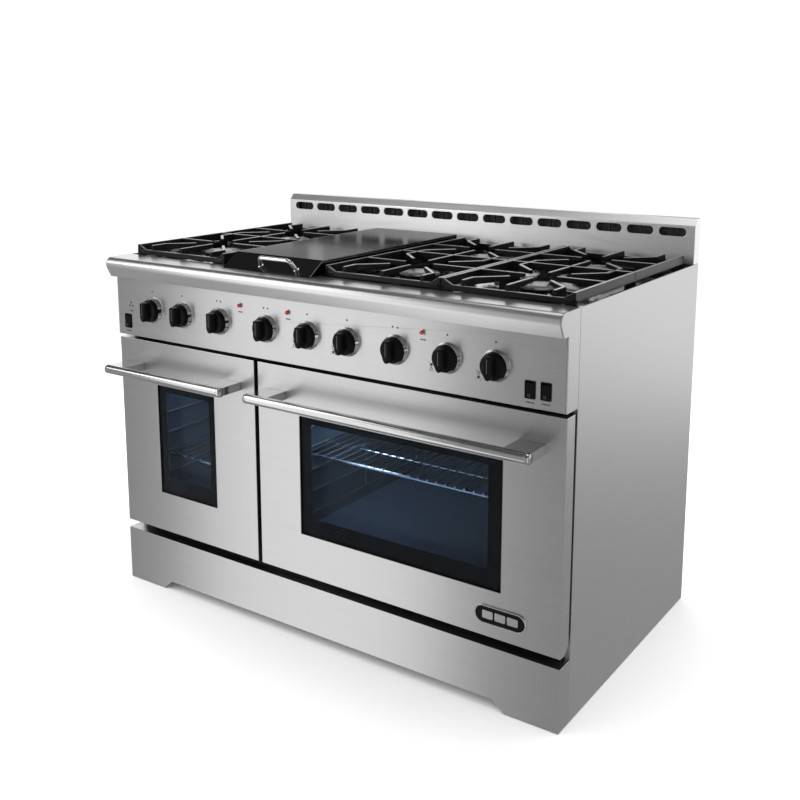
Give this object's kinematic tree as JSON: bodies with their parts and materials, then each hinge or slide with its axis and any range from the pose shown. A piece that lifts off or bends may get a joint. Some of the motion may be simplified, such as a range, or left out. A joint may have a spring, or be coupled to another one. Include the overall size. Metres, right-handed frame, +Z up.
{
  "type": "freestanding gas range",
  "caption": "Wide freestanding gas range with a small and a large oven, round bar handles, a row of knobs, cast grates, a covered griddle and a vented backguard.",
  "frame": {"origin": "centre of the base on the floor", "axes": "+X to the right as seen from the front, +Y towards the wall, +Z up"},
  "size_m": [1.214, 0.764, 0.944],
  "materials": {
    "brushed_steel": "horizontally brushed stainless steel, satin",
    "polished_steel": "polished stainless steel, mirror-like",
    "black_enamel": "gloss black porcelain enamel",
    "cast_iron": "matt black enamelled cast iron",
    "black_steel": "dark polished steel with a light grain",
    "oven_enamel": "dark blue-grey oven enamel, semi-gloss",
    "black_plastic": "moulded black plastic, semi-gloss",
    "red_lens": "clear red lens",
    "window_glass": "tinted oven glass",
    "rack_wire": "bright plated wire",
    "zinc_plate": "dull zinc-plated steel",
    "brass": "machined brass"
  },
  "bodies": {
    "range_body": {"back_panel": "zinc_plate", "backguard": "brushed_steel", "base_pan": "zinc_plate", "bullnose_trim": "brushed_steel", "burner_left_front": "cast_iron", "burner_left_rear": "cast_iron", "burner_middle_front": "cast_iron", "burner_middle_rear": "cast_iron", "burner_right_front": "cast_iron", "burner_right_rear": "cast_iron", "control_panel": "brushed_steel", "cooktop_tray": "black_enamel", "fan_cover": "oven_enamel", "front_frame": "black_enamel", "gas_manifold": "brass", "griddle_plate": "black_steel", "kick_plate": "brushed_steel", "lamp_griddle": "red_lens", "lamp_large_oven": "red_lens", "lamp_small_oven": "red_lens", "large_oven_liner": "oven_enamel", "left_door_hinge": "zinc_plate", "left_end_cap": "brushed_steel", "left_side_panel": "brushed_steel", "leveling_leg_front_left": "zinc_plate", "leveling_leg_front_right": "zinc_plate", "leveling_leg_rear_left": "zinc_plate", "leveling_leg_rear_right": "zinc_plate", "right_door_hinge": "zinc_plate", "right_end_cap": "brushed_steel", "right_side_panel": "brushed_steel", "small_oven_liner": "oven_enamel"},
    "left_door": {"left_door_skin": "brushed_steel", "left_door_glass": "window_glass", "left_door_inner_panel": "black_enamel", "left_door_handle": "brushed_steel"},
    "right_door": {"right_door_skin": "brushed_steel", "right_door_glass": "window_glass", "right_door_inner_panel": "black_enamel", "right_door_handle": "brushed_steel"},
    "grate_left": {"grate_left": "cast_iron"},
    "grate_middle": {"grate_middle": "cast_iron"},
    "grate_right": {"grate_right": "cast_iron"},
    "griddle_cover": {"griddle_cover": "black_steel", "griddle_cover_handle": "polished_steel"},
    "large_oven_rack": {"large_oven_rack": "rack_wire"},
    "small_oven_rack": {"small_oven_rack": "rack_wire"},
    "convection_fan": {"convection_fan": "zinc_plate"},
    "knob_left_rear": {"knob_left_rear": "black_plastic"},
    "knob_left_front": {"knob_left_front": "black_plastic"},
    "knob_small_oven": {"knob_small_oven": "black_plastic"},
    "knob_griddle": {"knob_griddle": "black_plastic"},
    "knob_middle_rear": {"knob_middle_rear": "black_plastic"},
    "knob_middle_front": {"knob_middle_front": "black_plastic"},
    "knob_large_oven": {"knob_large_oven": "black_plastic"},
    "knob_right_rear": {"knob_right_rear": "black_plastic"},
    "knob_right_front": {"knob_right_front": "black_plastic"},
    "switch_small_oven_light": {"switch_small_oven_light": "black_plastic"},
    "switch_large_oven_fan": {"switch_large_oven_fan": "black_plastic"},
    "switch_large_oven_light": {"switch_large_oven_light": "black_plastic"}
  },
  "joints": [
    {"name": "left_door_swing", "type": "hinge", "parent": "range_body", "child": "left_door", "pos_m": [-0.385, -0.286, 0.172], "axis": [1, 0, 0], "range_deg": [0, 90], "stiffness_Nm_per_rad": 6, "springref_deg": -28.65},
    {"name": "right_door_swing", "type": "hinge", "parent": "range_body", "child": "right_door", "pos_m": [0.227, -0.286, 0.172], "axis": [1, 0, 0], "range_deg": [0, 90], "stiffness_Nm_per_rad": 9, "springref_deg": -28.65},
    {"name": "knob_left_rear_turn", "type": "hinge", "parent": "range_body", "child": "knob_left_rear", "pos_m": [-0.483, -0.316, 0.716], "axis": [0, -1, 0], "range_deg": [0, 270]},
    {"name": "knob_left_front_turn", "type": "hinge", "parent": "range_body", "child": "knob_left_front", "pos_m": [-0.383, -0.316, 0.716], "axis": [0, -1, 0], "range_deg": [0, 270]},
    {"name": "knob_small_oven_turn", "type": "hinge", "parent": "range_body", "child": "knob_small_oven", "pos_m": [-0.264, -0.316, 0.716], "axis": [0, -1, 0], "range_deg": [0, 270]},
    {"name": "knob_griddle_turn", "type": "hinge", "parent": "range_body", "child": "knob_griddle", "pos_m": [-0.122, -0.316, 0.716], "axis": [0, -1, 0], "range_deg": [0, 270]},
    {"name": "knob_middle_rear_turn", "type": "hinge", "parent": "range_body", "child": "knob_middle_rear", "pos_m": [-0.004, -0.316, 0.716], "axis": [0, -1, 0], "range_deg": [0, 270]},
    {"name": "knob_middle_front_turn", "type": "hinge", "parent": "range_body", "child": "knob_middle_front", "pos_m": [0.103, -0.316, 0.716], "axis": [0, -1, 0], "range_deg": [0, 270]},
    {"name": "knob_large_oven_turn", "type": "hinge", "parent": "range_body", "child": "knob_large_oven", "pos_m": [0.225, -0.316, 0.716], "axis": [0, -1, 0], "range_deg": [0, 270]},
    {"name": "knob_right_rear_turn", "type": "hinge", "parent": "range_body", "child": "knob_right_rear", "pos_m": [0.349, -0.316, 0.716], "axis": [0, -1, 0], "range_deg": [0, 270]},
    {"name": "knob_right_front_turn", "type": "hinge", "parent": "range_body", "child": "knob_right_front", "pos_m": [0.457, -0.316, 0.716], "axis": [0, -1, 0], "range_deg": [0, 270]},
    {"name": "switch_small_oven_light_rock", "type": "hinge", "parent": "range_body", "child": "switch_small_oven_light", "pos_m": [-0.5715, -0.303, 0.681], "axis": [1, 0, 0], "range_deg": [0, 12]},
    {"name": "switch_large_oven_fan_rock", "type": "hinge", "parent": "range_body", "child": "switch_large_oven_fan", "pos_m": [0.531, -0.303, 0.681], "axis": [1, 0, 0], "range_deg": [0, 12]},
    {"name": "switch_large_oven_light_rock", "type": "hinge", "parent": "range_body", "child": "switch_large_oven_light", "pos_m": [0.564, -0.303, 0.682], "axis": [1, 0, 0], "range_deg": [0, 12]},
    {"name": "grate_left_lift", "type": "slide", "parent": "range_body", "child": "grate_left", "axis": [0, 0, 1], "range_m": [0, 0.15]},
    {"name": "grate_middle_lift", "type": "slide", "parent": "range_body", "child": "grate_middle", "axis": [0, 0, 1], "range_m": [0, 0.15]},
    {"name": "grate_right_lift", "type": "slide", "parent": "range_body", "child": "grate_right", "axis": [0, 0, 1], "range_m": [0, 0.15]},
    {"name": "griddle_cover_lift", "type": "slide", "parent": "range_body", "child": "griddle_cover", "axis": [0, 0, 1], "range_m": [0, 0.2]},
    {"name": "large_oven_rack_slide", "type": "slide", "parent": "range_body", "child": "large_oven_rack", "axis": [0, -1, 0], "range_m": [0, 0.32]},
    {"name": "small_oven_rack_slide", "type": "slide", "parent": "range_body", "child": "small_oven_rack", "axis": [0, -1, 0], "range_m": [0, 0.32]},
    {"name": "convection_fan_spin", "type": "hinge", "parent": "range_body", "child": "convection_fan", "pos_m": [0.224, 0.276, 0.4], "axis": [0, 1, 0], "continuous": true}
  ],
  "couplings": [
    {"joint": "large_oven_rack_slide", "follows": "right_door_swing", "m_per_rad": 0.2},
    {"joint": "small_oven_rack_slide", "follows": "left_door_swing", "m_per_rad": 0.2}
  ]
}
